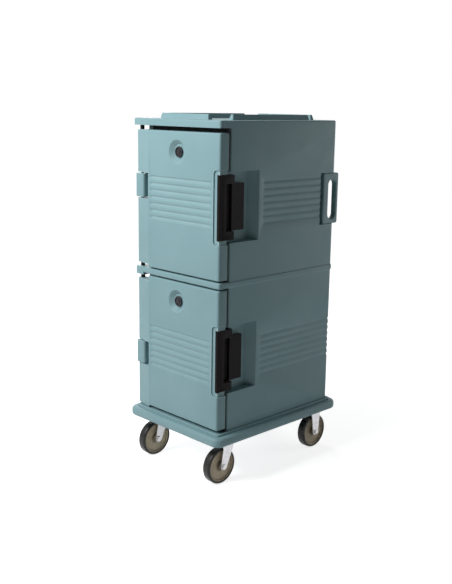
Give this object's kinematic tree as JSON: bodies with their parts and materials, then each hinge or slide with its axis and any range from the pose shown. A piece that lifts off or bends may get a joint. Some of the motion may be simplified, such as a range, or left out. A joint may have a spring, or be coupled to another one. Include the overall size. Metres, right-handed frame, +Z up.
{
  "type": "insulated food cart",
  "caption": "Upright insulated food cart with stacked compartments, side-hinged moulded doors with vents and latches, rear handles and a bumper base on casters.",
  "frame": {"origin": "on the floor, under the centre of the base", "axes": "+Z up, +X towards the latch side, -Y towards the doors"},
  "size_m": [0.521, 0.688, 1.3645],
  "materials": {
    "moulding": "satin moulded polyethylene, slate teal",
    "inner_moulding": "satin moulded polyethylene, slate teal",
    "foam": "rigid insulation foam",
    "seal": "soft black seal",
    "latch_black": "brown-black nylon",
    "vent_black": "black nylon",
    "hinge_black": "black nylon",
    "steel": "plain stainless steel",
    "zinc": "bright zinc plate",
    "wheel_core": "olive-grey nylon",
    "tyre": "dark charcoal rubber"
  },
  "bodies": {
    "cabinet": {"cabinet_shell": "moulding", "top_cap": "moulding", "middle_rail": "moulding", "stacking_rim": "moulding", "hinge_lugs": "moulding", "foam_top": "foam", "foam_middle": "foam", "foam_bottom": "foam", "foam_left": "foam", "foam_right": "foam", "foam_back": "foam", "upper_liner": "inner_moulding", "lower_liner": "inner_moulding", "upper_pan_rails": "inner_moulding", "lower_pan_rails": "inner_moulding", "bumper_base": "moulding", "rear_handle_right": "moulding", "rear_handle_left": "moulding", "upper_hinge_pins": "hinge_black", "lower_hinge_pins": "hinge_black", "upper_latch_keeper": "steel", "lower_latch_keeper": "steel", "front_left_caster_plate": "zinc", "front_right_caster_plate": "zinc", "front_left_kingpin": "steel", "front_right_kingpin": "steel", "rear_left_fork": "zinc", "rear_right_fork": "zinc", "rear_left_axle": "steel", "rear_right_axle": "steel", "caster_bolts": "steel"},
    "upper_door": {"upper_door_shell": "moulding", "upper_door_foam": "foam", "upper_door_panel": "inner_moulding", "upper_door_gasket": "seal", "upper_vent_tube": "vent_black", "upper_vent_cap": "vent_black", "upper_latch_pin": "steel"},
    "upper_latch": {"upper_latch": "latch_black"},
    "lower_door": {"lower_door_shell": "moulding", "lower_door_foam": "foam", "lower_door_panel": "inner_moulding", "lower_door_gasket": "seal", "lower_vent_tube": "vent_black", "lower_vent_cap": "vent_black", "lower_latch_pin": "steel"},
    "lower_latch": {"lower_latch": "latch_black"},
    "front_left_swivel_fork": {"front_left_fork": "zinc", "front_left_axle": "steel"},
    "front_left_wheel": {"front_left_wheel_core": "wheel_core", "front_left_tyre": "tyre"},
    "front_right_swivel_fork": {"front_right_fork": "zinc", "front_right_axle": "steel"},
    "front_right_wheel": {"front_right_wheel_core": "wheel_core", "front_right_tyre": "tyre"},
    "rear_left_wheel": {"rear_left_wheel_core": "wheel_core", "rear_left_tyre": "tyre"},
    "rear_right_wheel": {"rear_right_wheel_core": "wheel_core", "rear_right_tyre": "tyre"}
  },
  "joints": [
    {"name": "upper_door_hinge", "type": "hinge", "parent": "cabinet", "child": "upper_door", "pos_m": [-0.227, -0.292, 1.0428], "axis": [0, 0, -1], "range_deg": [0, 230]},
    {"name": "upper_latch_pivot", "type": "hinge", "parent": "upper_door", "child": "upper_latch", "pos_m": [0.219, -0.3095, 1.043], "axis": [0, 0, -1], "range_deg": [0, 100]},
    {"name": "lower_door_hinge", "type": "hinge", "parent": "cabinet", "child": "lower_door", "pos_m": [-0.227, -0.292, 0.4865], "axis": [0, 0, -1], "range_deg": [0, 230]},
    {"name": "lower_latch_pivot", "type": "hinge", "parent": "lower_door", "child": "lower_latch", "pos_m": [0.219, -0.3095, 0.486], "axis": [0, 0, -1], "range_deg": [0, 100]},
    {"name": "front_left_swivel", "type": "hinge", "parent": "cabinet", "child": "front_left_swivel_fork", "pos_m": [-0.1895, -0.238, 0.152], "axis": [0, 0, 1], "continuous": true},
    {"name": "front_left_wheel_spin", "type": "hinge", "parent": "front_left_swivel_fork", "child": "front_left_wheel", "pos_m": [-0.1895, -0.268, 0.0695], "axis": [1, 0, 0], "continuous": true},
    {"name": "front_right_swivel", "type": "hinge", "parent": "cabinet", "child": "front_right_swivel_fork", "pos_m": [0.1895, -0.238, 0.152], "axis": [0, 0, 1], "continuous": true},
    {"name": "front_right_wheel_spin", "type": "hinge", "parent": "front_right_swivel_fork", "child": "front_right_wheel", "pos_m": [0.1895, -0.268, 0.0695], "axis": [1, 0, 0], "continuous": true},
    {"name": "rear_left_wheel_spin", "type": "hinge", "parent": "cabinet", "child": "rear_left_wheel", "pos_m": [-0.1895, 0.266, 0.0695], "axis": [1, 0, 0], "continuous": true},
    {"name": "rear_right_wheel_spin", "type": "hinge", "parent": "cabinet", "child": "rear_right_wheel", "pos_m": [0.1895, 0.266, 0.0695], "axis": [1, 0, 0], "continuous": true}
  ]
}
